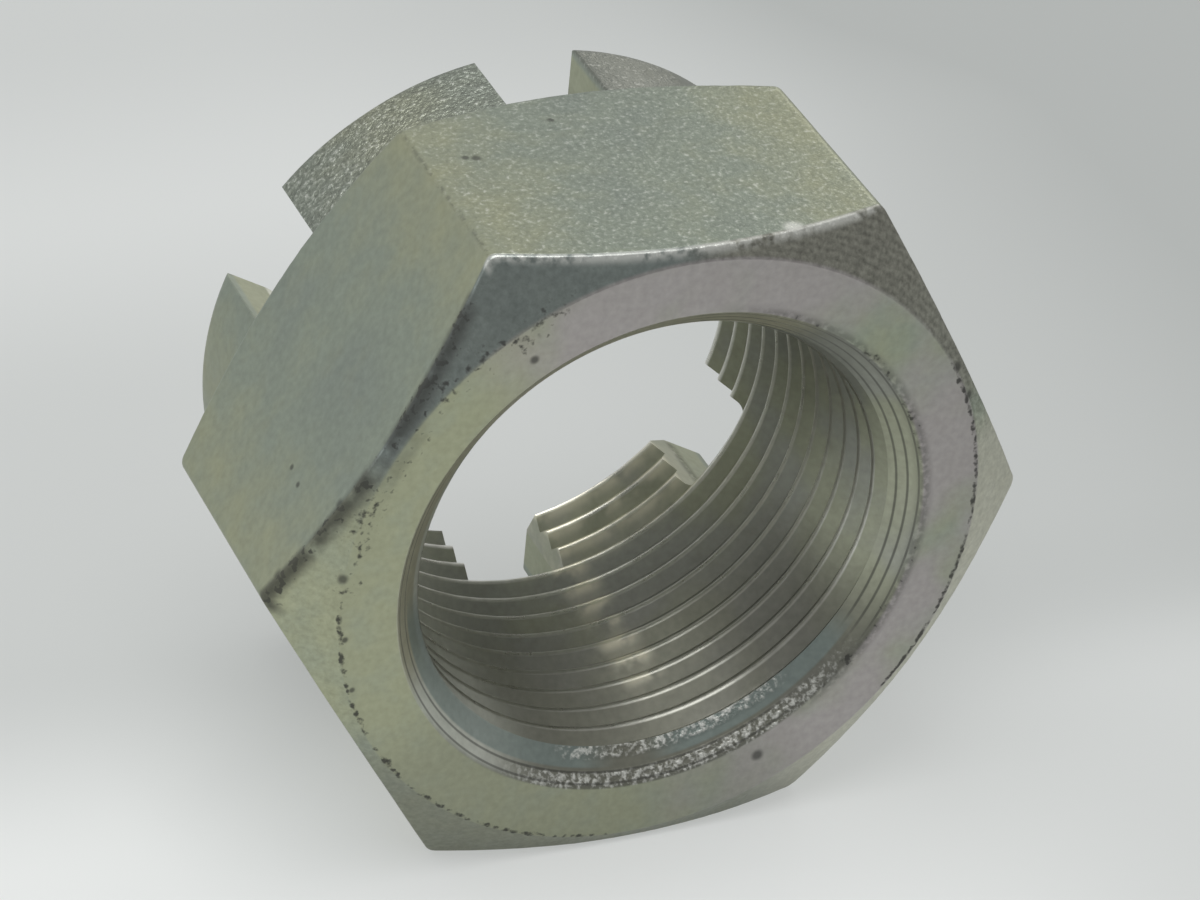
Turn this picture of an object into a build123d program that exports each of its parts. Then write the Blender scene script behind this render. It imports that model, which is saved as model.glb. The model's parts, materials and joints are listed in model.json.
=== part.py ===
from build123d import *
from math import cos, radians, sin, sqrt, tan
import os

# A castle nut: a steel hexagon nut with a narrower round crown, which is slotted for a
# split pin. The nut lies on one of its flats. Its thread axis runs along Y, with the
# bearing face towards -Y and the crown towards +Y. The origin is the middle of the flat
# that it lies on, and all lengths are in millimetres.

# ---- Driving dimensions ----

# Thread
thread_diameter = 24.0
thread_pitch = 1.5
countersink_diameter = 25.5  # at the bearing face and at the top of the crown
lead_in_angle = 90.0  # included angle of the countersink in the bearing face
countersink_angle = 120.0  # included angle of the countersink in the crown

# Hexagon
across_flats = 32.0
hexagon_height = 14.6  # bearing face to the foot of the crown
hexagon_corner_radius = 0.6  # along the six upright edges
bearing_face_diameter = 30.8  # outside this ring the corners are turned away
corner_chamfer_angle = 30.0  # of the turned corners at both ends, from the face

# Crown
nut_height = 20.0  # bearing face to the top of the crown
crown_diameter = 30.0
crown_edge_radius = 0.5  # outer edge of the crown's top

# Slots for the split pin
slot_count = 6
slot_width = 4.9
slot_depth = 4.9  # from the top of the crown
slot_floor_radius = 0.4
slot_first_angle = 31.0  # from +X towards +Z, a degree on from the middle of the flat

# ---- Sizes worked out from them ----

# The tips of an internal thread stand 5/8 of the thread's sharp triangle in from the
# nominal diameter, on each side. The bore is plain at the tips.
thread_triangle_height = thread_pitch * sqrt(3) / 2
thread_tip_height = thread_triangle_height * 5 / 8
bore_radius = thread_diameter / 2 - thread_tip_height

countersink_radius = countersink_diameter / 2
countersink_reach = countersink_radius - bore_radius
lead_in_depth = countersink_reach / tan(radians(lead_in_angle / 2))
countersink_depth = countersink_reach / tan(radians(countersink_angle / 2))

bearing_face_radius = bearing_face_diameter / 2
crown_radius = crown_diameter / 2
hexagon_corner_reach = across_flats / sqrt(3)
corner_chamfer_slope = tan(radians(corner_chamfer_angle))
front_chamfer_depth = (hexagon_corner_reach - bearing_face_radius) * corner_chamfer_slope
rear_chamfer_depth = (hexagon_corner_reach - crown_radius) * corner_chamfer_slope

# ---- Where the nut lies ----

axis_height = across_flats / 2
front_centre = Vector(0, -nut_height / 2, axis_height)
crown_top_centre = front_centre + Vector(0, nut_height, 0)
thread_axis = Axis(front_centre, (0, 1, 0))

# Across the thread axis, at the bearing face, with the sketch's normal along the axis
face_plane = Plane(front_centre, x_dir=(1, 0, 0), z_dir=(0, 1, 0))
# Through the thread axis, with x as the radius and y as the height above the bearing face
section_plane = Plane(front_centre, x_dir=(1, 0, 0), z_dir=(0, 0, 1))


def slot_plane(angle):
    """Plane at the crown's top that looks out along a slot, with y along the axis."""
    outward = (cos(radians(angle)), 0, sin(radians(angle)))
    across = (sin(radians(angle)), 0, -cos(radians(angle)))
    return Plane(crown_top_centre, x_dir=across, z_dir=outward)


with BuildPart() as castle_nut:
    # Hexagon bar, with its upright edges slightly rounded
    with BuildSketch(face_plane):
        RegularPolygon(across_flats / 2, side_count=6, major_radius=False)
    extrude(amount=hexagon_height)
    fillet(castle_nut.edges().filter_by(Axis.Y), hexagon_corner_radius)

    # Both ends are turned to a cone, which leaves the ring of the bearing face in front
    # and the foot of the crown behind
    with BuildSketch(section_plane):
        with BuildLine():
            Polyline(
                (0, 0),
                (bearing_face_radius, 0),
                (hexagon_corner_reach, front_chamfer_depth),
                (hexagon_corner_reach, hexagon_height - rear_chamfer_depth),
                (crown_radius, hexagon_height),
                (0, hexagon_height),
                close=True,
            )
        make_face()
    revolve(axis=thread_axis, mode=Mode.INTERSECT)

    # Round crown with a softened outer edge
    with BuildSketch(face_plane.offset(hexagon_height)):
        Circle(crown_radius)
    extrude(amount=nut_height - hexagon_height)
    crown_top = castle_nut.faces().sort_by(thread_axis)[-1]
    fillet(crown_top.edges(), crown_edge_radius)

    # Bore at the thread's tips, with a deep lead-in in front and a shallow countersink behind
    with BuildSketch(section_plane):
        with BuildLine():
            Polyline(
                (0, 0),
                (countersink_radius, 0),
                (bore_radius, lead_in_depth),
                (bore_radius, nut_height - countersink_depth),
                (countersink_radius, nut_height),
                (0, nut_height),
                close=True,
            )
        make_face()
    revolve(axis=thread_axis, mode=Mode.SUBTRACT)

    # Slots, each milled from the top of the crown and out through its wall
    for slot in range(slot_count):
        slot_angle = slot_first_angle + slot * 360 / slot_count
        with BuildSketch(slot_plane(slot_angle)) as slot_profile:
            Rectangle(slot_width, slot_depth, align=(Align.CENTER, Align.MAX))
            floor_corners = slot_profile.vertices().group_by(Axis.Y)[0]
            fillet(floor_corners, slot_floor_radius)
        extrude(amount=hexagon_corner_reach, mode=Mode.SUBTRACT)

castle_nut.part.label = "castle_nut"

os.makedirs("parts", exist_ok=True)
export_step(castle_nut.part, "parts/castle_nut.step")
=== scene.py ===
import json
from math import atan2, ceil, cos, degrees, hypot, pi, radians, sin, sqrt, tan

import bmesh
import bpy
from bpy.props import FloatProperty, FloatVectorProperty, IntProperty, PointerProperty
from mathutils import Matrix, Vector, noise


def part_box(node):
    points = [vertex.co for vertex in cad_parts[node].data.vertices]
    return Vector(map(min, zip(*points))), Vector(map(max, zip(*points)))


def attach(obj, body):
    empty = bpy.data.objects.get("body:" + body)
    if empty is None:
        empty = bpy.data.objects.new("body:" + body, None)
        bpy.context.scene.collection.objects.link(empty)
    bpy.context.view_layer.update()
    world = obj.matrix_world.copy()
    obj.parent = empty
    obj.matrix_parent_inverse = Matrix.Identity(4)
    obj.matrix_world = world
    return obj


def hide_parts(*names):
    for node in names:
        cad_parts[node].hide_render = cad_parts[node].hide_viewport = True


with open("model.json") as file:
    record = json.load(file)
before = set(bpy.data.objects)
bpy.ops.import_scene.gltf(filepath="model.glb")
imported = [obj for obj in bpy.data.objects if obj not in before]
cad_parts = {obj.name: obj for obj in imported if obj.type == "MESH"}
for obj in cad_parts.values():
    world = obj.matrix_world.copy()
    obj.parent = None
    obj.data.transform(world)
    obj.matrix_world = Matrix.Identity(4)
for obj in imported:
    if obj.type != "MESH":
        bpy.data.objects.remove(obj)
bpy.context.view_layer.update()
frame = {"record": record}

bl_info = {
    "name": "Castle Nut",
    "version": (1, 0, 0),
    "blender": (4, 5, 0),
    "location": "3D View > Sidebar > Castle Nut",
    "description": "Makes and plates a hexagon castle nut, and sets a plain studio round it",
    "category": "Object",
}

# ---- The frame ----

MM = 0.001
NUT_LOW, NUT_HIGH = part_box("castle_nut")
MOUNTS = {mount["name"]: mount for mount in frame["record"]["mounts"]}

ACROSS_FLATS = NUT_HIGH.z - NUT_LOW.z
NUT_HEIGHT = NUT_HIGH.y - NUT_LOW.y
AXIS_HEIGHT = (NUT_LOW.z + NUT_HIGH.z) / 2
BORE_RADIUS = MOUNTS["thread"]["dims"]["r_mm"] * MM
# The middle of the bearing face. The thread axis runs from here along +Y.
FACE_CENTRE = Vector((0, NUT_LOW.y, AXIS_HEIGHT))

SECTOR = radians(60)
# Edges sharper than this are shaded as edges
SHARP_ANGLE = radians(38)


# ---- Sizes and colours that a user would change ----


def length(name, description, millimetres):
    return FloatProperty(
        name=name,
        description=description,
        default=millimetres * MM,
        min=0,
        precision=5,
        subtype="DISTANCE",
        unit="LENGTH",
    )


def angle(name, description, degree_value):
    return FloatProperty(
        name=name, description=description, default=radians(degree_value), subtype="ANGLE"
    )


def colour(name, description, value):
    return FloatVectorProperty(
        name=name, description=description, default=value, size=3, min=0, max=1, subtype="COLOR"
    )


class BlankSizes(bpy.types.PropertyGroup):
    """Sizes of the forged and turned blank: the hexagon, the bearing face and the crown"""

    hexagon_height: length("Hexagon Height", "Bearing face to the foot of the crown", 14.6)
    corner_radius: length("Corner Radius", "Rounding of the six upright edges", 0.6)
    face_diameter: length("Bearing Face", "Outside diameter of the bearing face", 30.8)
    chamfer: angle("Corner Chamfer", "Slope of the turned corners, from the face", 30)
    crown_diameter: length("Crown", "Outside diameter of the crown", 30)
    crown_edge: length("Crown Edge", "Rounding of the crown's outer top edge", 0.5)
    countersink_diameter: length("Countersink", "Width of both countersinks at the face", 25.5)
    lead_in: angle("Lead-In Slope", "Slope of the bearing face's countersink, from the face", 45)
    countersink: angle("Countersink Slope", "Slope of the crown's countersink, from its top", 30)
    edge_wear: length("Edge Wear", "Rounding left on the hexagon's turned edges", 0.16)
    rim_wear: length("Rim Wear", "Rounding where the bearing face meets the bore", 0.2)
    waviness: length("Waviness", "How far the forged flats depart from true", 0.018)


class SlotSizes(bpy.types.PropertyGroup):
    """Sizes of the slots milled through the crown"""

    count: IntProperty(name="Slots", description="Slots round the crown", default=6, min=1)
    width: length("Width", "Width of a slot", 4.9)
    depth: length("Depth", "Depth of a slot from the crown's top", 4.9)
    floor_radius: length("Floor Radius", "Rounding between a slot's wall and its floor", 0.4)
    edge_radius: length("Edge Radius", "Rounding of a slot's outer and top edges", 0.14)
    first: angle("First Slot", "Angle of the first slot, from +X towards +Z", 31)


class ThreadSizes(bpy.types.PropertyGroup):
    """Sizes of the internal thread"""

    diameter: length("Diameter", "Nominal diameter, at the thread's roots", 24)
    pitch: length("Pitch", "Rise of one turn", 1.5)
    phase: FloatProperty(
        name="Phase", description="Turns from the bearing face to a crest on +X", default=0.528
    )
    crest_wear: length("Crest Wear", "How far the edges of a crest are worn back", 0.035)
    root_fill: length("Root Fill", "How far short of full depth the roots are", 0.26)
    chatter: length("Chatter", "Unevenness that the tap left along the crests", 0.02)
    steps: IntProperty(name="Steps", description="Steps round one turn", default=224, min=24)


class PlateColours(bpy.types.PropertyGroup):
    """Colours of the passivated zinc plate, and of the painted light and shade on it"""

    straw: colour("Straw", "Yellow passage of the passivate film", (0.38, 0.395, 0.275))
    sage: colour("Sage", "Grey-green passage of the film", (0.31, 0.35, 0.29))
    slate: colour("Slate", "Blue-grey passage of the film", (0.235, 0.27, 0.262))
    lilac: colour("Lilac", "Violet passage of the film", (0.41, 0.38, 0.38))
    bore: colour("Bore", "Thin grey film on the flanks of the thread", (0.35, 0.36, 0.32))
    # Painted light on the left of the thread
    bore_painted_light: colour("Bore Painted Light", "Painted light on the left of the thread", (0.70, 0.72, 0.65))
    # Painted shade at the bottom of the thread
    bore_painted_shade: colour("Bore Painted Shade", "Painted shade at the bottom of the thread", (0.20, 0.20, 0.17))
    # Crests painted brighter than the flanks: partly worn metal, partly painted shade in the
    # grooves
    crest: colour("Crest", "Worn crests, painted brighter than the shaded grooves", (0.62, 0.62, 0.57))
    lip: colour("Lip", "Yellow film on the upper left of the lead-in", (0.46, 0.45, 0.34))
    teal: colour("Teal", "Blue-green film on the lower lead-in", (0.27, 0.335, 0.32))
    cone: colour("Cone", "Brown-grey film on the turned corners", (0.275, 0.275, 0.235))
    # Painted light on the right turned corner
    cone_painted_light: colour("Cone Painted Light", "Painted light on the right turned corner", (0.54, 0.53, 0.45))
    # Painted shade at the foot of the bearing face
    shade: colour("Shade", "Painted shade at the foot of the bearing face", (0.20, 0.21, 0.175))
    # Partly a darker film, partly painted shade on the crown's outside
    crown: colour("Crown", "Darker film and painted shade on the outside of the crown", (0.21, 0.22, 0.195))
    # Partly worn bright metal, partly painted glints and sparkle
    bare_and_glint: colour("Bare And Glint", "Metal worn bright, and painted glints on edges and grains", (0.86, 0.87, 0.82))
    # A painted warm glint on the thread
    painted_glint: colour("Painted Glint", "Warm glint painted on the thread", (0.92, 0.88, 0.70))
    grime: colour("Grime", "Dark specks left in pits and along edges", (0.085, 0.085, 0.08))


class StageSettings(bpy.types.PropertyGroup):
    """The plain floor, the soft lamps and the camera"""

    floor: colour("Floor", "Colour of the floor in front", (0.88, 0.90, 0.89))
    floor_away: colour("Floor Away", "Colour of the floor further off", (0.49, 0.51, 0.50))
    glow: FloatProperty(
        name="Glow", description="Share of the floor's colour that no shadow darkens", default=0.5
    )
    camera_azimuth: angle("Azimuth", "Camera's way round, 0 looks along +Y", -26.8)
    camera_elevation: angle("Elevation", "Camera's height above the horizon", 33.2)
    camera_roll: angle("Roll", "Turn of the camera about its own axis", 7.0)
    camera_distance: length("Distance", "Camera to the point that it aims at", 204.3)
    lens: FloatProperty(name="Lens", description="Focal length in millimetres", default=138)


# ---- Mesh helpers ----


def rounded_line(corners, radii, arc_steps):
    """A line through the corners, each one rounded by its radius with the same count of points."""
    points = [Vector(corners[0])]
    for before, corner, after, radius in zip(corners, corners[1:], corners[2:], radii):
        corner = Vector(corner)
        back, ahead = (Vector(before) - corner).normalized(), (Vector(after) - corner).normalized()
        half = back.angle(ahead) / 2
        reach = radius / tan(half)
        centre = corner + (back + ahead).normalized() * radius / sin(half)
        start, end = corner + back * reach - centre, corner + ahead * reach - centre
        for step in range(arc_steps + 1):
            points.append(centre + start.slerp(end, step / arc_steps).normalized() * radius)
    points.append(Vector(corners[-1]))
    return points


def divided(points, spans):
    """The points, with each stretch between two of them divided into the count given for it."""
    line = []
    for start, end, count in zip(points, points[1:], spans):
        line += [start.lerp(end, step / count) for step in range(count)]
    return line + [points[-1]]


def ring_shell(columns):
    """A closed shell from columns of points that go once round an axis, with a pole at each end."""
    shell = bmesh.new()
    grid = [[shell.verts.new(point) for point in column[1:-1]] for column in columns]
    first, last = shell.verts.new(columns[0][0]), shell.verts.new(columns[0][-1])
    for here, beside in zip(grid, grid[1:] + grid[:1]):
        shell.faces.new((first, beside[0], here[0]))
        shell.faces.new((last, here[-1], beside[-1]))
        for row in range(len(here) - 1):
            shell.faces.new((here[row], beside[row], beside[row + 1], here[row + 1]))
    bmesh.ops.recalc_face_normals(shell, faces=shell.faces)
    shell.normal_update()
    return shell


def finished_mesh(name, shell):
    """Turns a bmesh shell into a named object with its faces outwards and smooth."""
    bmesh.ops.recalc_face_normals(shell, faces=shell.faces)
    for face in shell.faces:
        face.smooth = True
    mesh = bpy.data.meshes.new(name)
    shell.to_mesh(mesh)
    shell.free()
    made = bpy.data.objects.new(name, mesh)
    bpy.context.scene.collection.objects.link(made)
    return made


def evaluated_mesh(source, name):
    """A plain mesh of an object as its modifiers leave it."""
    graph = bpy.context.evaluated_depsgraph_get()
    mesh = bpy.data.meshes.new_from_object(
        source.evaluated_get(graph), preserve_all_data_layers=True, depsgraph=graph
    )
    mesh.name = name
    return mesh


def cut(blank, cutter):
    """Takes the cutter's shape out of the blank and clears the cutter away."""
    modifier = blank.modifiers.new("Cut", "BOOLEAN")
    modifier.operation = "DIFFERENCE"
    modifier.solver = "MANIFOLD"
    modifier.object = cutter
    mesh = evaluated_mesh(blank, blank.name)
    if len(mesh.polygons) == 0:
        raise RuntimeError(f"{cutter.name} left nothing of {blank.name}")
    blank.modifiers.clear()
    blank.data = mesh
    bpy.data.objects.remove(cutter)


# ---- Node helpers ----


class Field:
    """A value in a node tree, on which arithmetic adds the Math nodes that work it out."""

    def __init__(self, tree, socket):
        self.tree, self.socket = tree, socket

    def math(self, operation, *others):
        made = self.tree.nodes.new("ShaderNodeMath")
        made.operation = operation
        for socket, value in zip(made.inputs, (self, *others)):
            fill(self.tree, socket, value)
        return Field(self.tree, made.outputs[0])

    def __add__(self, other):
        return self.math("ADD", other)

    def __sub__(self, other):
        return self.math("SUBTRACT", other)

    def __mul__(self, other):
        return self.math("MULTIPLY", other)

    def __truediv__(self, other):
        return self.math("DIVIDE", other)

    def __rsub__(self, other):
        return (self * -1.0).math("ADD", other)

    def power(self, other):
        return self.math("POWER", other)

    def most(self, other):
        return self.math("MAXIMUM", other)

    def least(self, other):
        return self.math("MINIMUM", other)

    def magnitude(self):
        return self.math("ABSOLUTE")

    def ramp(self, start, end, low=0.0, high=1.0):
        """Goes smoothly from low to high as the value goes from start to end."""
        made = self.tree.nodes.new("ShaderNodeMapRange")
        made.interpolation_type = "SMOOTHSTEP"
        for name, value in zip(("Value", "From Min", "From Max", "To Min", "To Max"),
                               (self, start, end, low, high)):
            fill(self.tree, made.inputs[name], value)
        return Field(self.tree, made.outputs["Result"])


def fill(tree, socket, value):
    """Gives a socket its value, or links it to the field or socket that works it out."""
    if isinstance(value, Field):
        value = value.socket
    if isinstance(value, bpy.types.NodeSocket):
        tree.links.new(value, socket)
    else:
        socket.default_value = value


def add(tree, kind, inputs=None, output=0, **settings):
    """Adds a node with its settings and inputs, and gives back one of its outputs as a field."""
    made = tree.nodes.new(kind)
    for setting, value in settings.items():
        setattr(made, setting, value)
    for name, value in (inputs or {}).items():
        fill(tree, made.inputs[name], value)
    return Field(tree, made.outputs[output])


def new_geometry_tree(name, inputs):
    """A geometry tree with named inputs, each given as (name, kind, default)."""
    tree = bpy.data.node_groups.new(name, "GeometryNodeTree")
    tree.is_modifier = True
    tree.interface.new_socket("Geometry", in_out="OUTPUT", socket_type="NodeSocketGeometry")
    for label, kind, default in inputs:
        socket = tree.interface.new_socket(label, in_out="INPUT", socket_type=f"NodeSocket{kind}")
        if default is not None:
            socket.default_value = default
    entry = tree.nodes.new("NodeGroupInput")
    given = {label: Field(tree, entry.outputs[label]) for label, kind, default in inputs}
    return tree, given


def end_tree(tree, geometry, material):
    """Ends a geometry tree in Realize Instances and Set Material."""
    realised = add(tree, "GeometryNodeRealizeInstances", {"Geometry": geometry})
    plated = add(tree, "GeometryNodeSetMaterial", {"Geometry": realised, "Material": material})
    fill(tree, tree.nodes.new("NodeGroupOutput").inputs["Geometry"], plated)


def grow(name, tree, values):
    """Runs a geometry tree on an empty mesh and keeps the result as a plain mesh object."""
    made = bpy.data.objects.new(name, bpy.data.meshes.new(name))
    bpy.context.scene.collection.objects.link(made)
    modifier = made.modifiers.new(tree.name, "NODES")
    modifier.node_group = tree
    for item in tree.interface.items_tree:
        if item.in_out == "INPUT" and item.name in values:
            modifier[item.identifier] = values[item.name]
    mesh = evaluated_mesh(made, name)
    made.modifiers.clear()
    made.data = mesh
    return made


# ---- The blank ----


def hexagon_outline(corner_radius):
    """Points round the hexagon bar, as (angle, distance from the axis), closest at its corners."""
    corner_steps, flat_steps = 8, 56
    inset = (ACROSS_FLATS / 2 - corner_radius) / cos(SECTOR / 2)
    half_flat = inset * sin(SECTOR / 2)
    outline = []
    for corner in range(6):
        heading = corner * SECTOR
        for step in range(corner_steps):
            turn = heading - SECTOR / 2 + SECTOR * step / corner_steps
            x = inset * cos(heading) + corner_radius * cos(turn)
            z = inset * sin(heading) + corner_radius * sin(turn)
            outline.append((atan2(z, x), hypot(x, z)))
        middle = heading + SECTOR / 2
        for step in range(flat_steps):
            along = half_flat * (2 * step / flat_steps - 1)
            x = ACROSS_FLATS / 2 * cos(middle) - along * sin(middle)
            z = ACROSS_FLATS / 2 * sin(middle) + along * cos(middle)
            outline.append((atan2(z, x), hypot(x, z)))
    return outline


def unevenness(turn, about, finest):
    """A smooth number from about -1 to 1 that varies round the nut, to vary its worn edges."""
    spot = Vector((cos(turn), sin(turn), 0)) * finest
    return noise.fractal(spot + Vector((0, 0, about)), 0.8, 2.0, 3)


def blank_column(sizes, turn, bar_radius):
    """The blank's section at one angle, as (radius, height above the bearing face) points."""
    # Both countersinks run on past the thread's tips, so the thread's cutter opens the bore
    core = BORE_RADIUS - 1.5 * MM
    face = sizes.face_diameter / 2
    crown = sizes.crown_diameter / 2
    sink = sizes.countersink_diameter / 2
    lead_depth = (sink - core) * tan(sizes.lead_in)
    sink_depth = (sink - core) * tan(sizes.countersink)
    slope = tan(sizes.chamfer)
    corners = (
        (0, lead_depth),
        (core, lead_depth),
        (sink, 0),
        (face, 0),
        (bar_radius, (bar_radius - face) * slope),
        (bar_radius, sizes.hexagon_height - (bar_radius - crown) * slope),
        (crown, sizes.hexagon_height),
        (crown, NUT_HEIGHT),
        (sink, NUT_HEIGHT),
        (core, NUT_HEIGHT - sink_depth),
        (0, NUT_HEIGHT - sink_depth),
    )
    wear = sizes.edge_wear
    front_wear = wear * (1 + 0.55 * unevenness(turn, 1, 38))
    rear_wear = wear * (1.8 + 0.6 * unevenness(turn, 7, 22))
    radii = (
        wear,
        sizes.rim_wear * (1 + 0.25 * unevenness(turn, 3, 16)),
        wear,
        front_wear,
        rear_wear,
        wear,
        sizes.crown_edge,
        wear,
        wear,
    )
    arc_steps = 4
    # How many faces go between one rounded corner and the next
    straights = (1, 2, 5, 6, 16, 6, 8, 4, 3, 1)
    spans = []
    for straight in straights[:-1]:
        spans += [straight] + [1] * arc_steps
    return divided(rounded_line(corners, radii, arc_steps), spans + [straights[-1]])


def make_blank(sizes):
    """The forged hexagon with its turned ends and crown, not yet slotted or tapped."""
    columns = []
    for turn, bar_radius in hexagon_outline(sizes.corner_radius):
        section = blank_column(sizes, turn, bar_radius)
        columns.append([
            FACE_CENTRE + Vector((radius * cos(turn), height, radius * sin(turn)))
            for radius, height in section
        ])
    shell = ring_shell(columns)
    for vertex in shell.verts:
        swell = noise.fractal(vertex.co / MM * 0.16, 0.9, 2.0, 3) * sizes.waviness
        vertex.co += vertex.normal * (swell - sizes.waviness / 2)
    return finished_mesh("castle_nut_metal", shell)


# ---- The slots ----


def slot_section(sizes, swell):
    """A slot's section, as (across, height) points, wider on each side by the swell."""
    half = sizes.width / 2 + swell
    top = NUT_HEIGHT
    floor = top - sizes.depth
    lip = sizes.edge_radius
    side = [(half, floor), (half, top - lip)]
    radii = (sizes.floor_radius,)
    clear = 2 * MM
    wall = rounded_line(((0, floor), side[0], side[1]), radii, 6)
    flare = [
        Vector((half + lip * (1 - cos(step)), top - lip + lip * sin(step)))
        for step in (radians(20), radians(40), radians(60))
    ]
    run_out = flare[-1] + Vector((clear * tan(radians(60)), clear))
    right = wall + flare + [run_out]
    return right + [Vector((-point.x, point.y)) for point in reversed(right[1:])]


def make_slot_cutter(sizes, crown_diameter):
    """One slot's cutter, pointing out along +X from the thread axis."""
    # From inside the bore to past the crown's outside
    start, clear = 9.5 * MM, 2 * MM
    lip = sizes.edge_radius
    # Where the slot's walls come out through the round crown
    outlet = sqrt((crown_diameter / 2) ** 2 - (sizes.width / 2) ** 2)
    stations = [(start, 0), (outlet - lip, 0)]
    for step in (radians(20), radians(40), radians(60)):
        stations.append((outlet - lip + lip * sin(step), lip * (1 - cos(step))))
    last_reach, last_swell = stations[-1]
    stations.append((last_reach + clear, last_swell + clear * tan(radians(60))))
    shell = bmesh.new()
    rings = [
        [shell.verts.new((reach, height, across)) for across, height in slot_section(sizes, swell)]
        for reach, swell in stations
    ]
    shell.faces.new(rings[0])
    shell.faces.new(rings[-1])
    for here, beyond in zip(rings, rings[1:]):
        for corner in range(len(here)):
            before = corner - 1
            shell.faces.new((here[before], here[corner], beyond[corner], beyond[before]))
    return finished_mesh("slot_cutter", shell)


def ring_of_copies():
    """Geometry tree that sets copies of an object round the thread axis."""
    tree, given = new_geometry_tree("Ring of Copies", (
        ("Count", "Int", 6),
        ("First Angle", "Float", 0.0),
        ("Centre", "Vector", (0.0, 0.0, 0.0)),
        ("Copied", "Object", None),
        ("Material", "Material", None),
    ))
    spots = add(tree, "GeometryNodeMeshLine", {"Count": given["Count"], "Offset": (0, 0, 0)})
    index = add(tree, "GeometryNodeInputIndex")
    turn = index / given["Count"] * (2 * pi) + given["First Angle"]
    rotation = add(
        tree, "FunctionNodeAxisAngleToRotation", {"Axis": (0, 1, 0), "Angle": turn * -1.0}
    )
    copied = add(
        tree, "GeometryNodeObjectInfo", {"Object": given["Copied"]}, output="Geometry"
    )
    copies = add(tree, "GeometryNodeInstanceOnPoints", {
        "Points": spots, "Instance": copied, "Rotation": rotation,
    })
    placed = add(
        tree, "GeometryNodeTransform", {"Geometry": copies, "Translation": given["Centre"]}
    )
    end_tree(tree, placed, given["Material"])
    return tree


# ---- The thread ----

# Rows of the thread's section in one pitch, of which 2 lie across the flat crest. The others
# make the straight flanks, which meet in the root.
PITCH_ROWS = 16
# Half the crest's width, in pitches
CREST_HALF = 1 / PITCH_ROWS


def thread_core():
    """Geometry tree of the hollow that a tap leaves: a helical ridge and groove with flat ends."""
    tree, given = new_geometry_tree("Thread Core", (
        ("Crest Radius", "Float", 0.01),
        ("Root Radius", "Float", 0.012),
        ("Pitch", "Float", 0.0015),
        ("Start", "Float", 0.0),
        ("Low", "Float", 0.0),
        ("High", "Float", 0.02),
        ("Crest Wear", "Float", 0.0),
        ("Chatter", "Float", 0.0),
        ("Steps", "Int", 224),
        ("Rows", "Int", 300),
        ("Centre", "Vector", (0.0, 0.0, 0.0)),
        ("Material", "Material", None),
    ))
    rows, crest = given["Rows"], given["Crest Radius"]
    grid = add(tree, "GeometryNodeMeshGrid", {
        "Size X": rows, "Size Y": 1.0, "Vertices X": rows + 1.0, "Vertices Y": given["Steps"] + 1.0,
    })
    spot = add(tree, "GeometryNodeInputPosition")
    row = add(tree, "ShaderNodeSeparateXYZ", {"Vector": spot}, output="X") + rows / 2.0
    turns = add(tree, "ShaderNodeSeparateXYZ", {"Vector": spot}, output="Y") + 0.5

    # Every row drops one pitch in a turn, so the end of a turn meets the row a pitch below it.
    # What would pass the ends is laid flat on them, and the outermost rows close on the axis.
    height = (row / PITCH_ROWS - turns) * given["Pitch"] + given["Start"]
    above_low = height.math("GREATER_THAN", given["Low"])
    below_high = height.math("LESS_THAN", given["High"])
    off_axis = row.math("GREATER_THAN", 0.5) * row.math("LESS_THAN", rows - 0.5)
    height = height.most(given["Low"]).least(given["High"])

    from_crest = ((row / PITCH_ROWS + 0.5).math("FRACT") - 0.5).magnitude()
    groove = ((from_crest - CREST_HALF) / (0.5 - CREST_HALF)).most(0.0)
    ridge = 1.0 - groove
    worn = (from_crest / CREST_HALF).least(1.0).power(3.0) * given["Crest Wear"] * ridge
    around = turns * (2 * pi)
    along_x, along_z = around.math("COSINE"), around.math("SINE")
    rub = add(tree, "ShaderNodeCombineXYZ", {
        "X": along_x * crest, "Y": height, "Z": along_z * crest,
    })
    rub = add(tree, "ShaderNodeTexNoise", {"Vector": rub, "Scale": 1400.0, "Detail": 2.0})
    chatter = (rub - 0.5) * 2.0 * given["Chatter"] * ridge
    cut_depth = groove * (given["Root Radius"] - crest) + worn + chatter
    radius = (crest + cut_depth * above_low * below_high) * off_axis

    place = add(tree, "ShaderNodeCombineXYZ", {
        "X": radius * along_x, "Y": height, "Z": radius * along_z,
    })
    wound = add(tree, "GeometryNodeSetPosition", {"Geometry": grid, "Position": place})
    closed = add(tree, "GeometryNodeMergeByDistance", {"Geometry": wound, "Distance": 1e-7})
    placed = add(
        tree, "GeometryNodeTransform", {"Geometry": closed, "Translation": given["Centre"]}
    )
    end_tree(tree, placed, given["Material"])
    return tree


def make_thread_cutter(sizes, metal):
    """The thread core, run past both ends of the nut."""
    clear = 0.6 * MM
    low, high = -clear, NUT_HEIGHT + clear
    # Row 0 is a crest's middle, two rows or more below the low end
    rows_below = ceil(PITCH_ROWS * (sizes.phase - low / sizes.pitch)) + 2
    rows_below = PITCH_ROWS * ceil(rows_below / PITCH_ROWS)
    start = sizes.pitch * (sizes.phase - rows_below / PITCH_ROWS)
    rows = PITCH_ROWS * (ceil((high - start) / sizes.pitch) + 1) + 2
    return grow("thread_cutter", thread_core(), {
        "Crest Radius": BORE_RADIUS,
        "Root Radius": sizes.diameter / 2 - sizes.root_fill,
        "Pitch": sizes.pitch,
        "Start": start,
        "Low": low,
        "High": high,
        "Crest Wear": sizes.crest_wear,
        "Chatter": sizes.chatter,
        "Steps": sizes.steps,
        "Rows": rows,
        "Centre": FACE_CENTRE,
        "Material": metal,
    })


# ---- The zinc plate ----


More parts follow.
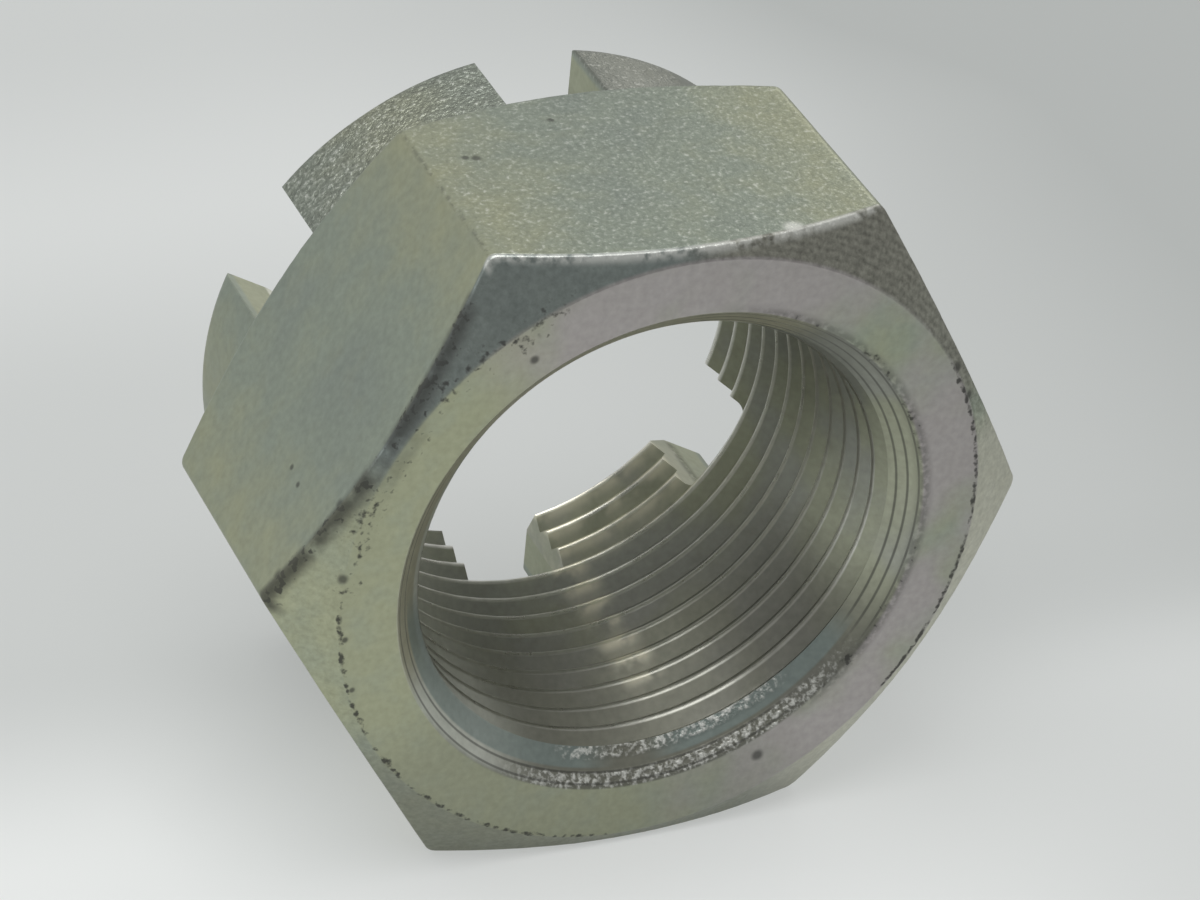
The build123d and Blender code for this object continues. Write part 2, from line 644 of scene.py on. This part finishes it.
# Stretches round the nut from +X towards +Z, in degrees: where each starts, where it ends and
# how far beyond its ends it fades
STRETCHES = {
    "straw face": (130, 262, 30),
    "lilac face": (-70, 115, 22),
    "shaded foot": (225, 290, 22),
    "slate cone": (88, 150, 12),
    "brown cone": (30, 84, 12),
    "lit cone": (-62, 12, 10),
    "turned cone": (20, 86, 10),
    "lathe lines": (20, 84, 10),
    "lit bore": (170, 232, 28),
    "shaded bore": (250, 325, 22),
    "yellow lip": (70, 195, 15),
    "teal left": (192, 256, 12),
    "teal right": (284, 322, 12),
    "grimy rim right": (-36, 30, 6),
    "grimy rim left": (182, 262, 10),
    "grimy edge": (126, 181, 2),
    "grimy shoulder": (118, 172, 12),
    "grimy mouth": (-40, 70, 20),
    "grimy ridge": (112, 128, 2),
    "fine lines right": (-25, 85, 12),
    "fine lines left": (160, 300, 20),
    "coarse flat": (62, 118, 3),
    "highlit edge": (60, 121, 1),
    "coarse tooth": (96, 146, 6),
    "shaded tooth": (30, 92, 4),
    "lit tooth": (155, 215, 4),
    "glinting tooth": (274, 322, 6),
    "glint streak": (281, 285, 5),
    "crushed rim": (252, 310, 22),
    "rubbed crest": (258, 305, 10),
}


class Places:
    """Where a point of the plate lies on the nut, in millimetres and degrees, as node fields."""

    def __init__(self, tree, sizes):
        spot = add(tree, "ShaderNodeTexCoord", output="Object")
        centred = add(tree, "ShaderNodeMapping", {
            "Vector": spot,
            "Location": -FACE_CENTRE / MM,
            "Scale": (1 / MM, 1 / MM, 1 / MM),
        })
        self.tree, self.spot = tree, centred
        parts = tree.nodes.new("ShaderNodeSeparateXYZ")
        fill(tree, parts.inputs["Vector"], centred)
        self.x, self.height, self.z = (Field(tree, output) for output in parts.outputs)
        self.radius = (self.x * self.x + self.z * self.z).power(0.5)
        # From +X towards +Z, from -180 to 180
        self.turn = self.z.math("ARCTAN2", self.x) * degrees(1)
        # 0 in the middle of a flat and 1 at a corner
        self.cornerness = ((self.turn / 60.0 + 6.0).math("FRACT") - 0.5).magnitude() * 2.0
        face, slope = sizes.face_diameter / 2 / MM, tan(sizes.chamfer)
        sink, tip = sizes.countersink_diameter / 2 / MM, BORE_RADIUS / MM
        foot = sizes.hexagon_height / MM
        bar = (self.cornerness * radians(30)).math("COSINE").power(-1.0) * (ACROSS_FLATS / 2 / MM)
        # From the turned front edge of the hexagon, along the axis
        self.from_front_edge = (self.height - (bar - face) * slope).magnitude()
        self.from_face_edge = (self.radius - face).magnitude() + self.height.magnitude()
        self.face = self.height.ramp(0.2, 0.08) * self.radius.ramp(face + 0.2, face)
        self.outside = self.radius.ramp(face - 0.9, face - 0.4)
        above_cone = self.height - (self.radius - face) * slope
        self.cone = above_cone.ramp(0.25, 0.1) * self.radius.ramp(face - 0.1, face + 0.15)
        # Behind the foot of the crown, on its outside and on the slots' walls
        behind = self.height.ramp(foot - 0.2, foot + 0.3)
        self.crown = behind * self.outside
        self.walls = self.height.ramp(foot + 0.4, foot + 0.7) * self.radius.ramp(14.7, 14.4)
        self.bore = self.radius.ramp(sink + 0.05, sink - 0.1)
        self.mouth = (self.radius - (sink + 0.05)).magnitude().ramp(0.5, 0.05)
        self.lead_in = self.bore * self.height.ramp(1.7, 1.4) * self.height.ramp(0.68, 0.78)
        self.crest = self.radius.ramp(tip + 0.112, tip + 0.052)
        crushed = self.bore * self.height.ramp(0.66, 0.50) * self.sector("crushed rim")
        first_crest = self.bore * self.radius.ramp(11.85, 11.65) * self.height.ramp(1.9, 1.6)
        self.rubbed = crushed.most(first_crest * self.sector("rubbed crest"))
        self.drift = self.noise(0.16, 2.0)
        self.patch = self.noise(0.6, 3.0)
        self.speck = self.noise(2.8, 2.0)
        self.grit = self.noise(4.2, 2.0, 0.6)

    def noise(self, scale, detail, roughness=0.5):
        """Smooth noise of about 0 to 1, with its scale in features per millimetre."""
        return add(self.tree, "ShaderNodeTexNoise", {
            "Vector": self.spot, "Scale": scale, "Detail": detail, "Roughness": roughness,
        })

    def sector(self, name):
        """1 on a named stretch round the nut, fading beyond its ends."""
        start, end, soft = STRETCHES[name]
        middle, half = (start + end) / 2, (end - start) / 2
        off = ((self.turn - middle + 540.0).math("MODULO", 360.0) - 180.0).magnitude()
        return off.ramp(half + soft, half)

    def near(self, x, height, z, reach):
        """1 at a point of the nut, falling to 0 at the reach."""
        off = add(self.tree, "ShaderNodeVectorMath", {
            0: self.spot, 1: (x, height, z),
        }, output="Value", operation="DISTANCE")
        return off.ramp(reach, reach * 0.3)


def blend(share, below, above):
    """The first number where the share is 0 and the second one where it is 1."""
    return (above - below) * share + below


def blend_colours(tree, share, below, above):
    """The first colour where the share is 0 and the second one where it is 1."""
    mixed = tree.nodes.new("ShaderNodeMix")
    mixed.data_type = "RGBA"
    fill(tree, mixed.inputs["Factor"], share)
    # A Mix node has its two colours at 6 and 7, and the mixed one at output 2
    for socket, value in ((mixed.inputs[6], below), (mixed.inputs[7], above)):
        fill(tree, socket, value if isinstance(value, Field) else (*value, 1))
    return Field(tree, mixed.outputs[2])


def film_and_painted_light(tree, at, colours):
    """The passivate film, which passes from straw to sage, slate and lilac as it thickens, with
    painted light and shade on the thread, the right turned corner and the foot of the bearing face.
    """
    # The flats, the turned corners and the bearing face
    on_flats = at.cornerness.ramp(0.35, 1.0) * 0.75 + (at.patch - 0.5) * 1.2
    on_face = at.sector("straw face") * 0.55 + (at.patch - 0.4) * 1.5
    straw = blend(at.face.most(at.cone * 0.8), on_flats, on_face + 0.25).most(0.0).least(1.0)
    film = blend_colours(tree, straw, colours.sage, colours.straw)
    slate = at.cornerness.ramp(0.55, 0.05) * (1.0 - at.face) * at.drift.ramp(0.4, 0.62) * 0.35
    slate = slate.most(at.cone * at.sector("slate cone") * 0.9)
    film = blend_colours(tree, slate, film, colours.slate)
    film = blend_colours(tree, at.cone * at.sector("brown cone"), film, colours.cone)
    # Painted light on the right turned corner
    film = blend_colours(tree, at.cone * at.sector("lit cone") * 0.8, film, colours.cone_painted_light)
    lilac = at.face * at.sector("lilac face") * at.drift.ramp(0.30, 0.55) * 0.9
    film = blend_colours(tree, lilac, film, colours.lilac)
    film = blend_colours(tree, at.walls * 0.8, film, colours.straw)

    # The thread
    bore = blend_colours(tree, at.drift.ramp(0.40, 0.56) * 0.6, colours.bore, colours.straw)
    # Painted light: the left of the thread is painted paler
    bore = blend_colours(tree, at.sector("lit bore") * 0.8, bore, colours.bore_painted_light)
    # Painted shade on the bottom right of the thread, darker towards the bearing face
    dark = at.height.ramp(16.0, 4.0) * at.sector("shaded bore") * 0.8
    bore = blend_colours(tree, dark, bore, colours.bore_painted_shade)
    # The crests are painted brighter than the flanks: partly worn metal, partly painted shade in
    # the grooves between them
    bore = blend_colours(tree, at.crest * (1.0 - dark * 0.75), bore, colours.crest)
    film = blend_colours(tree, at.bore, film, bore)

    # The lead-in, and the painted shade at the foot of the bearing face
    lip = at.bore * at.height.ramp(1.3, 1.1) * at.sector("yellow lip")
    film = blend_colours(tree, lip, film, colours.lip)
    teal = at.lead_in * at.sector("teal left").most(at.sector("teal right"))
    film = blend_colours(tree, teal * 0.7, film, colours.teal)
    # Painted shade on the face and turned corner at the foot of the nut
    shade = (at.face * 0.38).most(at.cone * 0.75) * at.sector("shaded foot")
    return blend_colours(tree, shade, film, colours.shade)


# Pits and nicks: each one's x, height above the bearing face, z and reach, in millimetres
PITS = (
    (-15.43, 0.0, 1.59, 0.36),
    (-7.50, 0.0, 11.62, 0.30),
    (6.13, 0.0, -12.24, 0.42),
    (-15.09, 0.0, -1.66, 0.22),
    (-14.54, 0.0, -4.47, 0.20),
    (-6.80, 9.55, 16.0, 0.34),
    (-7.25, 9.70, 16.0, 0.26),
    (-2.29, 11.93, 16.0, 0.24),
    (-13.48, 0.1, 8.65, 0.55),
    (-15.56, 0.72, 5.05, 0.42),
    (-17.75, 1.5, 1.1, 0.55),
    (-16.06, 5.2, 4.15, 0.20),
    (-16.18, 4.1, 3.98, 0.20),
    (13.40, 0.1, 8.00, 0.34),
    (14.25, 0.1, 6.40, 0.28),
)
# A painted highlight spot on the top flat's front edge, in the same way
EDGE_HIGHLIGHT_SPOT = (4.56, 0.9, 16.0, 0.7)


def grime_share(at):
    """Dark specks along the turned edges and in a few pits, from 0 to 1."""
    rim = at.sector("grimy rim right").most(at.sector("grimy rim left") * 0.85)
    rim = at.from_face_edge.ramp(0.34, 0.04) * rim
    edge = at.from_front_edge.ramp(0.5, 0.08) * at.outside * at.sector("grimy edge")
    shoulder = at.from_face_edge.ramp(1.6, 0.2) * at.sector("grimy shoulder") * 0.6
    mouth = at.mouth * at.sector("grimy mouth") * 0.62
    worst = rim.most(edge).most(shoulder).most(mouth)
    grime = (worst * 0.34 + at.speck + (at.patch - 0.5) * 0.5).ramp(0.72, 0.95)
    grime = grime * worst.ramp(0.0, 0.2)
    grime = grime.most(edge * at.patch.ramp(0.22, 0.50) * 0.85)
    grime = grime.most(mouth * at.speck.ramp(0.28, 0.58) * 0.8)

    # The upright edge between the top flat and the left one
    ridge = at.cornerness.ramp(0.978, 1.0) * at.height.ramp(14.6, 13.8) * (1.0 - at.cone)
    ridge = ridge * at.outside * at.sector("grimy ridge")
    grime = grime.most(ridge * at.speck.ramp(0.40, 0.6) * 0.5)

    # Fine lines that the countersink's cutter left, deeper in on the right
    right = at.sector("fine lines right")
    line = ((at.height * 2.6).math("FRACT") - 0.5).magnitude().ramp(0.16, 0.05)
    reach = at.height.ramp(0.8, 0.7).most(right * at.height.ramp(1.5, 1.4))
    line = line * reach * at.bore * (right.most(at.sector("fine lines left")) * 0.65)
    grime = grime.most(line)
    for pit in PITS:
        grime = grime.most(at.near(*pit) * 0.8)
    return grime


def worn_and_glint_colour(tree, at, colours, film, coarse, turned):
    """The film with its grain, where it is rubbed through to bright metal, with painted shade on
    the crown, and painted glints, sparkle and an edge highlight.
    """
    coarse_tooth = at.crown * at.sector("coarse tooth")
    contrast = (coarse_tooth * 1.7).most(coarse * 0.6).most(turned)
    lathe = ((at.radius * 3.2 + at.patch * 1.6).math("FRACT") - 0.5).magnitude()
    lathe = (lathe - 0.25) * at.cone * at.sector("lathe lines") * 0.4
    film = add(tree, "ShaderNodeVectorMath", {
        0: film, 1: at.speck * 0.34 + 0.83 + (at.grit - 0.5) * contrast + lathe,
    }, operation="MULTIPLY")

    film = blend_colours(tree, at.rubbed * 0.15, film, colours.grime)
    # The crown's outside is painted darker: partly a darker film, partly painted shade that differs
    # with the way each tooth faces
    film_and_tooth_shade = at.sector("shaded tooth") * 0.5 + 0.4 - at.sector("lit tooth") * 0.3
    film = blend_colours(tree, at.crown * film_and_tooth_shade, film, colours.crown)

    # A painted highlight along the top flat's front edge, broken by noise, with a brighter painted
    # spot on it
    edge_highlight = at.from_front_edge.ramp(0.28, 0.03) * at.outside * at.sector("highlit edge")
    edge_highlight = edge_highlight * (at.patch + at.speck * 0.8).ramp(0.62, 0.95)
    edge_highlight = edge_highlight.most(at.near(*EDGE_HIGHLIGHT_SPOT))
    # Bright specks painted as bare metal on the top flat's grain, one tooth's outside, the rubbed
    # rim and the edge: partly worn metal, partly painted glints and sparkle
    bright = at.grit + at.rubbed * 0.10 + edge_highlight * 0.15 - coarse * 0.03
    bright = bright.ramp(0.50, 0.80)
    bright = bright * (coarse * 0.6).most(coarse_tooth * 0.6).most(at.rubbed).most(edge_highlight)
    film = blend_colours(tree, bright.most(edge_highlight * 0.8) * 0.85, film, colours.bare_and_glint)

    # Painted glints: a warm streak painted along the bottom of the bore and on one tooth's threads,
    # brightest at the crests
    streak = at.sector("glint streak") * at.height.ramp(3.5, 7.0) * at.patch.ramp(0.36, 0.56)
    tooth = at.sector("glinting tooth") * at.height.ramp(14.0, 15.4) * at.patch.ramp(0.30, 0.60)
    tips = at.bore * at.radius.ramp(11.62, 11.28) * 0.75 + 0.25
    painted_glint = streak.most(tooth * 0.8) * at.bore * tips
    return blend_colours(tree, painted_glint * 0.7, film, colours.painted_glint)


def zinc_plate(colours, sizes):
    """Passivated zinc plate over forged, turned and tapped steel, with painted light, shade and
    glints in its colour.
    """
    metal = bpy.data.materials.new("zinc_plate_film")
    metal.use_nodes = True
    tree = metal.node_tree
    tree.nodes.clear()
    shader = tree.nodes.new("ShaderNodeBsdfPrincipled")
    ending = tree.nodes.new("ShaderNodeOutputMaterial")
    tree.links.new(shader.outputs["BSDF"], ending.inputs["Surface"])
    at = Places(tree, sizes)

    # Coarse grain on the forged top flat, and a finer one on the turned corners
    coarse = at.sector("coarse flat") * at.outside * (1.0 - at.cone.most(at.face))
    turned = at.cone * (at.sector("turned cone") * 0.7 + 0.45)
    film = film_and_painted_light(tree, at, colours)
    film = worn_and_glint_colour(tree, at, colours, film, coarse, turned)
    grime = grime_share(at)
    film = blend_colours(tree, grime * 0.85, film, colours.grime)
    fill(tree, shader.inputs["Base Color"], film)

    roughness = (at.patch - 0.5) * 0.16 + 0.43 + grime * 0.3 - at.crest * 0.14
    fill(tree, shader.inputs["Roughness"], roughness)
    shader.inputs["Metallic"].default_value = 1.0

    rough_skin = coarse.most(turned * 0.6).most(at.rubbed)
    rough_skin = rough_skin.most(at.crown * at.sector("coarse tooth") * 2.6)
    relief = at.grit * (rough_skin * 0.05 + 0.004)
    bump = add(tree, "ShaderNodeBump", {"Strength": 1.0, "Distance": MM, "Height": relief})
    fill(tree, shader.inputs["Normal"], bump)
    return metal


# ---- Operators ----


class NUT_OT_forge_blank(bpy.types.Operator):
    """Forge the hexagon, turn its ends and its crown, and leave it solid"""

    bl_idname = "castle_nut.forge_blank"
    bl_label = "Forge Blank"

    def execute(self, context):
        make_blank(context.scene.nut_blank)
        return {"FINISHED"}


def nut_metal():
    """The nut's own mesh object, which the first operator makes."""
    made = bpy.data.objects.get("castle_nut_metal")
    if made is None:
        raise RuntimeError("Forge the blank first")
    return made


class NUT_OT_mill_slots(bpy.types.Operator):
    """Mill the slots for a split pin through the crown"""

    bl_idname = "castle_nut.mill_slots"
    bl_label = "Mill Slots"

    def execute(self, context):
        sizes = context.scene.nut_slots
        cutter = make_slot_cutter(sizes, context.scene.nut_blank.crown_diameter)
        cutters = grow("slot_cutters", ring_of_copies(), {
            "Count": sizes.count,
            "First Angle": sizes.first,
            "Centre": FACE_CENTRE,
            "Copied": cutter,
        })
        bpy.data.objects.remove(cutter)
        cut(nut_metal(), cutters)
        return {"FINISHED"}


class NUT_OT_tap_thread(bpy.types.Operator):
    """Tap the fine thread through the bore"""

    bl_idname = "castle_nut.tap_thread"
    bl_label = "Tap Thread"

    def execute(self, context):
        cut(nut_metal(), make_thread_cutter(context.scene.nut_thread, None))
        return {"FINISHED"}


class NUT_OT_plate(bpy.types.Operator):
    """Plate the nut with passivated zinc, and let it ride on the part"""

    bl_idname = "castle_nut.plate"
    bl_label = "Plate with Zinc"

    def execute(self, context):
        nut = nut_metal()
        nut.data.materials.clear()
        metal = zinc_plate(context.scene.nut_plate, context.scene.nut_blank)
        nut.data.materials.append(metal)
        nut.data.set_sharp_from_angle(angle=SHARP_ANGLE)
        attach(nut, "root")
        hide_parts("castle_nut")
        return {"FINISHED"}


class NUT_OT_set_stage(bpy.types.Operator):
    """Set the pale floor, the soft lamps and the camera"""

    bl_idname = "castle_nut.set_stage"
    bl_label = "Set Stage"

    def execute(self, context):
        stage = context.scene.nut_stage
        lay_floor(stage)
        hang_lamps(context.scene)
        set_camera(context.scene, stage)
        context.scene.view_settings.view_transform = "Standard"
        return {"FINISHED"}


# ---- Stage ----


FLOOR_RADIUS = 2.5
# Brightness of open white card under the lamps
LIT_CARD = 0.88


def lay_floor(stage):
    """A wide disc of plain card under the nut, darker towards the back and the right, with a
    painted shadow just right of the nut.
    """
    card = bmesh.new()
    bmesh.ops.create_circle(card, cap_ends=True, segments=96, radius=FLOOR_RADIUS)
    mesh = bpy.data.meshes.new("floor")
    card.to_mesh(mesh)
    card.free()
    floor = bpy.data.objects.new("floor", mesh)
    bpy.context.scene.collection.objects.link(floor)
    paint = bpy.data.materials.new("pale_card")
    paint.use_nodes = True
    tree = paint.node_tree
    shader = tree.nodes["Principled BSDF"]
    spot = add(tree, "ShaderNodeTexCoord", output="Object")
    parts = tree.nodes.new("ShaderNodeSeparateXYZ")
    fill(tree, parts.inputs["Vector"], spot)
    x, y, z = (Field(tree, output) for output in parts.outputs)
    # Painted shadow: the card is darker just right of the nut, where the nut's shadow falls, and
    # darker again further right
    beside = x.ramp(0.005, 0.030) * y.ramp(0.0, 0.010, 0.45, 0.15) + x.ramp(0.03, 0.065) * 0.35
    paler = y.ramp(0.030, 0.050) * x.ramp(0.045, 0.025) * 0.2
    away = y.ramp(-0.006, 0.010) * 0.6 + y.ramp(0.048, 0.070) * 0.2 + beside - paler
    card_colour = blend_colours(tree, away, stage.floor, stage.floor_away)
    # Where it is seen, a share of its colour is its own light, which keeps the shadow soft
    ray = tree.nodes.new("ShaderNodeLightPath").outputs
    seen = Field(tree, ray["Is Camera Ray"]).most(ray["Is Glossy Ray"])
    seen = seen.most(ray["Is Transmission Ray"]) * stage.glow
    lit = add(tree, "ShaderNodeVectorMath", {
        0: card_colour, "Scale": 1.0 - seen,
    }, operation="SCALE")
    fill(tree, shader.inputs["Base Color"], lit)
    fill(tree, shader.inputs["Emission Color"], card_colour)
    fill(tree, shader.inputs["Emission Strength"], seen * LIT_CARD)
    shader.inputs["Roughness"].default_value = 0.9
    shader.inputs["Specular IOR Level"].default_value = 0.1
    mesh.materials.append(paint)


def heading(azimuth, elevation):
    """The way from the nut towards a point at that azimuth, 0 in front, and elevation."""
    return Vector((
        sin(azimuth) * cos(elevation), -cos(azimuth) * cos(elevation), sin(elevation)
    ))


# Each lamp's azimuth and elevation in degrees, distance and width in metres, radiance and tint
LAMPS = (
    ("window_lamp", 142, 17, 0.50, 0.05, 8.0, (1.0, 0.96, 0.88)),
    ("top_lamp", -80, 80, 0.60, 0.45, 2.6, (1.0, 1.0, 1.0)),
    ("side_lamp", -105, 12, 0.60, 0.30, 0.8, (1.0, 1.0, 1.0)),
)


def hang_lamps(scene):
    """Soft square lamps that face the nut, in a soft room."""
    for name, azimuth, elevation, distance, width, radiance, tint in LAMPS:
        light = bpy.data.lights.new(name, "AREA")
        light.shape, light.size, light.color = "SQUARE", width, tint
        light.energy = radiance * pi * width * width
        lamp = bpy.data.objects.new(name, light)
        way = heading(radians(azimuth), radians(elevation))
        lamp.location = FACE_CENTRE + way * distance
        lamp.rotation_mode = "QUATERNION"
        lamp.rotation_quaternion = way.to_track_quat("Z", "Y")
        scene.collection.objects.link(lamp)
    light_room(scene)


# The way to the brightest side of the room, and its darkest and brightest levels
BRIGHT_WAY = (0.1, 0.8, 0.45)
ROOM_LEVELS = (0.34, 0.67)


def light_room(scene):
    """A soft room, brighter behind and above the nut than in front of it."""
    room = bpy.data.worlds.new("soft_room")
    scene.world = room
    room.use_nodes = True
    tree = room.node_tree
    way = add(tree, "ShaderNodeTexCoord", output="Generated")
    towards = add(tree, "ShaderNodeVectorMath", {
        0: way, 1: BRIGHT_WAY,
    }, output="Value", operation="DOT_PRODUCT")
    level = towards.ramp(-0.75, 0.8, *ROOM_LEVELS)
    fill(tree, tree.nodes["Background"].inputs["Strength"], level)
    tree.nodes["Background"].inputs["Color"].default_value = (1.0, 1.0, 1.0, 1)


# The point that the camera aims at, in millimetres
CAMERA_AIM = Vector((-2.02, -6.27, 19.70))


def set_camera(scene, stage):
    """The camera, aimed at a point in the middle of the nut and rolled a little."""
    aim = CAMERA_AIM * MM
    lens = bpy.data.cameras.new("camera")
    lens.lens = stage.lens
    lens.sensor_width = 36
    lens.clip_start, lens.clip_end = 0.01, 10
    camera = bpy.data.objects.new("camera", lens)
    way = heading(stage.camera_azimuth, stage.camera_elevation)
    camera.location = aim + way * stage.camera_distance
    camera.rotation_mode = "QUATERNION"
    camera.rotation_quaternion = way.to_track_quat("Z", "Y") @ roll_turn(stage.camera_roll)
    scene.collection.objects.link(camera)
    scene.camera = camera


def roll_turn(roll):
    """A turn about the camera's own line of sight."""
    return Matrix.Rotation(roll, 4, "Z").to_quaternion()


# ---- Panel and start ----


class NUT_PT_sidebar(bpy.types.Panel):
    """Lists the steps that make the castle nut, with their sizes and colours"""

    bl_idname = "NUT_PT_sidebar"
    bl_label = "Castle Nut"
    bl_space_type = "VIEW_3D"
    bl_region_type = "UI"
    bl_category = "Castle Nut"

    def draw(self, context):
        for group, operator in STEPS:
            box = self.layout.box()
            settings = getattr(context.scene, group)
            for name in settings.__annotations__:
                box.prop(settings, name)
            box.operator(operator.bl_idname)


STEPS = (
    ("nut_blank", NUT_OT_forge_blank),
    ("nut_slots", NUT_OT_mill_slots),
    ("nut_thread", NUT_OT_tap_thread),
    ("nut_plate", NUT_OT_plate),
    ("nut_stage", NUT_OT_set_stage),
)
SETTINGS = {
    "nut_blank": BlankSizes,
    "nut_slots": SlotSizes,
    "nut_thread": ThreadSizes,
    "nut_plate": PlateColours,
    "nut_stage": StageSettings,
}
CLASSES = (*SETTINGS.values(), *(operator for group, operator in STEPS), NUT_PT_sidebar)


def register():
    for each in CLASSES:
        bpy.utils.register_class(each)
    for group, settings in SETTINGS.items():
        setattr(bpy.types.Scene, group, PointerProperty(type=settings))


def unregister():
    for group in SETTINGS:
        delattr(bpy.types.Scene, group)
    for each in reversed(CLASSES):
        bpy.utils.unregister_class(each)


def main():
    register()
    bpy.ops.castle_nut.forge_blank()
    bpy.ops.castle_nut.mill_slots()
    bpy.ops.castle_nut.tap_thread()
    bpy.ops.castle_nut.plate()
    bpy.ops.castle_nut.set_stage()


if __name__ == "__main__":
    main()
